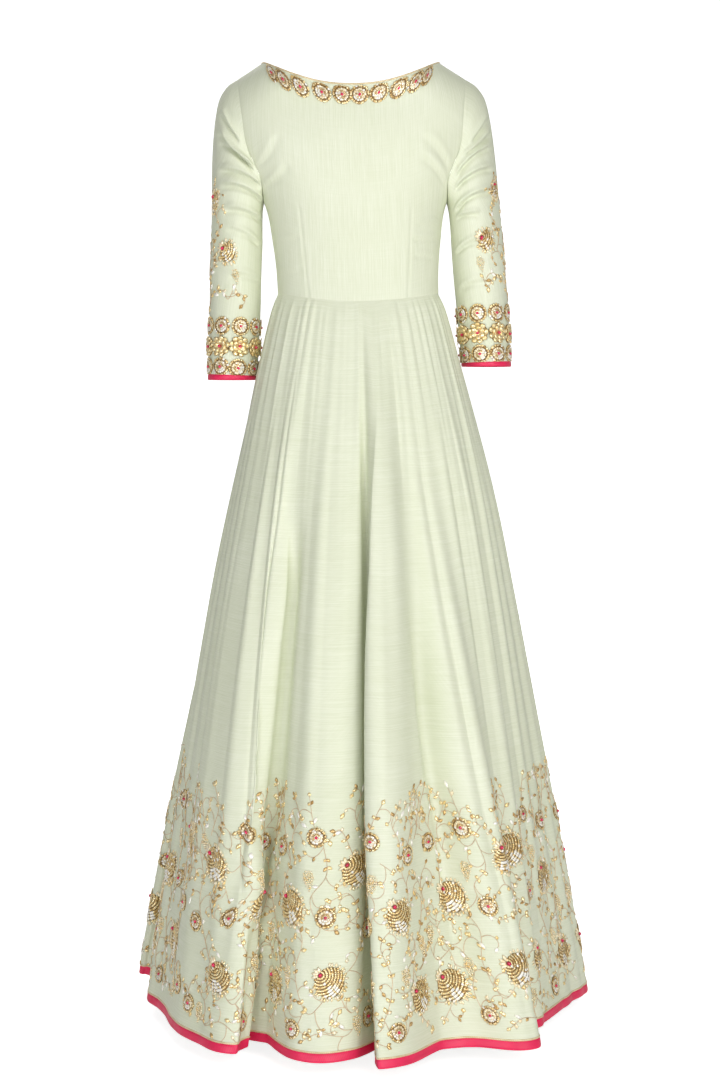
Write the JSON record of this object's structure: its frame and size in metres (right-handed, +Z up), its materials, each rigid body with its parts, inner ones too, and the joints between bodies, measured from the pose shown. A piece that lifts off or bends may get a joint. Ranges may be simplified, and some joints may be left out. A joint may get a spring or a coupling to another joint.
{
  "type": "anarkali gown",
  "caption": "Floor-length flared gown in pale green silk: fitted bodice, boat neck, three-quarter sleeves, sequin medallions, flowered border, hot-pink edges, in its worn hollow form.",
  "frame": {"origin": "midway between the two points where the shoulder seams meet the neck edge, where the wearer's shoulders hold the gown up", "axes": "+Z up, the gown's front faces -Y, +X towards the wearer's left"},
  "size_m": [0.6473, 0.7307, 1.3228],
  "materials": {
    "mint_silk": "slubby pale green silk with a soft sheen",
    "pink_binding": "hot-pink satin binding",
    "cream_piping": "cream cord piping"
  },
  "bodies": {
    "root": {"bodice_front": "mint_silk", "bodice_back": "mint_silk", "sleeve_left": "mint_silk", "sleeve_right": "mint_silk", "cuff_binding_left": "pink_binding", "cuff_binding_right": "pink_binding", "skirt_gore_01": "mint_silk", "skirt_gore_02": "mint_silk", "skirt_gore_03": "mint_silk", "skirt_gore_04": "mint_silk", "skirt_gore_05": "mint_silk", "skirt_gore_06": "mint_silk", "skirt_gore_07": "mint_silk", "skirt_gore_08": "mint_silk", "skirt_gore_09": "mint_silk", "skirt_gore_10": "mint_silk", "skirt_gore_11": "mint_silk", "skirt_gore_12": "mint_silk", "hem_binding": "pink_binding", "hem_piping": "cream_piping", "neck_piping": "cream_piping"}
  },
  "joints": []
}
